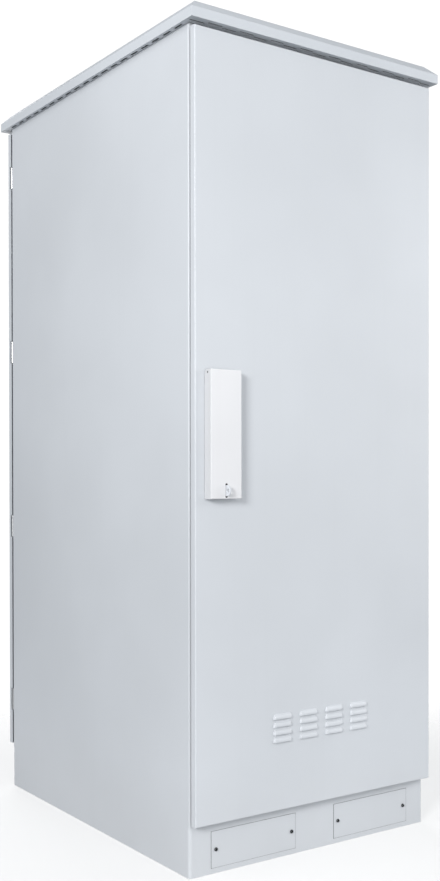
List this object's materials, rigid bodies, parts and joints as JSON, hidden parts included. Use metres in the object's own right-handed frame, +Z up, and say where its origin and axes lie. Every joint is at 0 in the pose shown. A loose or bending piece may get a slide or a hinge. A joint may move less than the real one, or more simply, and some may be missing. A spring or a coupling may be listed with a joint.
{
  "type": "outdoor equipment cabinet",
  "caption": "Free-standing outdoor equipment cabinet on a plinth, with a vented hipped roof, front and rear doors, louvres and a hinged cover over each lock.",
  "frame": {"origin": "on the ground under the middle of the cabinet, at the bottom centre of its bounding box", "axes": "X to the right as one faces the front door, Y from the front door to the rear door, Z up"},
  "size_m": [0.779, 1.062, 1.987],
  "materials": {
    "body_paint": "fine-textured pale cool grey powder coat",
    "lock_paint": "pale grey powder coat",
    "zinc_plated_steel": "zinc-plated steel",
    "black_plastic": "moulded black plastic",
    "light_plastic": "moulded light grey plastic",
    "red_insulator": "moulded red-brown insulator",
    "seal_rubber": "soft dark rubber",
    "filter_fleece": "white filter fleece",
    "earth_brass": "plain brass"
  },
  "bodies": {
    "cabinet": {"plinth_frame": "body_paint", "front_plinth_covers": "body_paint", "rear_plinth_covers": "body_paint", "plinth_cover_screws": "zinc_plated_steel", "floor_pan": "body_paint", "frame_bolts": "zinc_plated_steel", "left_wall": "body_paint", "right_wall": "body_paint", "front_header": "body_paint", "rear_header": "body_paint", "front_sill": "body_paint", "rear_sill": "body_paint", "roof_panel": "body_paint", "roof_canopy": "body_paint", "roof_posts": "zinc_plated_steel", "roof_bolts": "zinc_plated_steel", "left_fan_frame": "black_plastic", "right_fan_frame": "black_plastic", "depth_rails": "zinc_plated_steel", "front_rack_rails": "zinc_plated_steel", "rear_rack_rails": "zinc_plated_steel", "rail_brackets": "zinc_plated_steel", "cable_entry_plate": "zinc_plated_steel", "cable_grommets": "seal_rubber", "earth_bar": "earth_brass", "earth_posts": "red_insulator", "thermostat": "light_plastic", "front_hinge_brackets": "zinc_plated_steel", "rear_hinge_brackets": "zinc_plated_steel", "hinge_pins": "zinc_plated_steel"},
    "front_door": {"front_door": "body_paint", "front_door_seal": "seal_rubber", "front_hinge_leaves": "zinc_plated_steel", "front_filter_holder": "zinc_plated_steel", "front_filter_mat": "filter_fleece", "front_lock_cover_pin": "zinc_plated_steel", "front_lock_base": "lock_paint", "front_padlock_tab": "lock_paint", "front_rod_guides": "black_plastic"},
    "front_lock_cover": {"front_lock_cover": "body_paint"},
    "front_handle": {"front_t_handle": "black_plastic", "front_lock_cam": "zinc_plated_steel"},
    "front_upper_rod": {"front_upper_lock_rod": "zinc_plated_steel"},
    "front_lower_rod": {"front_lower_lock_rod": "zinc_plated_steel"},
    "rear_door": {"rear_door": "body_paint", "rear_door_seal": "seal_rubber", "rear_hinge_leaves": "zinc_plated_steel", "rear_filter_holder": "zinc_plated_steel", "rear_filter_mat": "filter_fleece", "rear_lock_cover_pin": "zinc_plated_steel", "rear_lock_base": "lock_paint", "rear_padlock_tab": "lock_paint", "rear_rod_guides": "black_plastic"},
    "rear_lock_cover": {"rear_lock_cover": "body_paint"},
    "rear_handle": {"rear_t_handle": "black_plastic", "rear_lock_cam": "zinc_plated_steel"},
    "rear_upper_rod": {"rear_upper_lock_rod": "zinc_plated_steel"},
    "rear_lower_rod": {"rear_lower_lock_rod": "zinc_plated_steel"},
    "left_fan_rotor": {"left_fan_rotor": "black_plastic"},
    "right_fan_rotor": {"right_fan_rotor": "black_plastic"}
  },
  "joints": [
    {"name": "front_door_hinge", "type": "hinge", "parent": "cabinet", "child": "front_door", "pos_m": [0.3665, -0.476, 1.026], "axis": [0, 0, 1], "range_deg": [0, 115]},
    {"name": "front_lock_cover_hinge", "type": "hinge", "parent": "front_door", "child": "front_lock_cover", "pos_m": [-0.3035, -0.502, 1.151], "axis": [-1, 0, 0], "range_deg": [0, 100]},
    {"name": "front_handle_turn", "type": "hinge", "parent": "front_door", "child": "front_handle", "pos_m": [-0.3035, -0.48, 1.0115], "axis": [0, -1, 0], "range_deg": [0, 90]},
    {"name": "front_upper_rod_slide", "type": "slide", "parent": "front_door", "child": "front_upper_rod", "axis": [0, 0, 1], "range_m": [0, 0.01795]},
    {"name": "front_lower_rod_slide", "type": "slide", "parent": "front_door", "child": "front_lower_rod", "axis": [0, 0, -1], "range_m": [0, 0.018]},
    {"name": "rear_door_hinge", "type": "hinge", "parent": "cabinet", "child": "rear_door", "pos_m": [-0.3665, 0.476, 1.026], "axis": [0, 0, 1], "range_deg": [0, 115]},
    {"name": "rear_lock_cover_hinge", "type": "hinge", "parent": "rear_door", "child": "rear_lock_cover", "pos_m": [0.3035, 0.502, 1.151], "axis": [1, 0, 0], "range_deg": [0, 100]},
    {"name": "rear_handle_turn", "type": "hinge", "parent": "rear_door", "child": "rear_handle", "pos_m": [0.3035, 0.48, 1.0115], "axis": [0, 1, 0], "range_deg": [0, 90]},
    {"name": "rear_upper_rod_slide", "type": "slide", "parent": "rear_door", "child": "rear_upper_rod", "axis": [0, 0, 1], "range_m": [0, 0.01795]},
    {"name": "rear_lower_rod_slide", "type": "slide", "parent": "rear_door", "child": "rear_lower_rod", "axis": [0, 0, -1], "range_m": [0, 0.018]},
    {"name": "left_fan_spin", "type": "hinge", "parent": "cabinet", "child": "left_fan_rotor", "pos_m": [-0.12, 0.2, 1.92], "axis": [0, 0, 1], "continuous": true},
    {"name": "right_fan_spin", "type": "hinge", "parent": "cabinet", "child": "right_fan_rotor", "pos_m": [0.12, 0.2, 1.92], "axis": [0, 0, 1], "continuous": true}
  ],
  "couplings": [
    {"joint": "front_handle_turn", "follows": "front_upper_rod_slide", "rad_per_m": 87.5},
    {"joint": "front_lower_rod_slide", "follows": "front_upper_rod_slide", "ratio": 1},
    {"joint": "rear_handle_turn", "follows": "rear_upper_rod_slide", "rad_per_m": 87.5},
    {"joint": "rear_lower_rod_slide", "follows": "rear_upper_rod_slide", "ratio": 1}
  ]
}
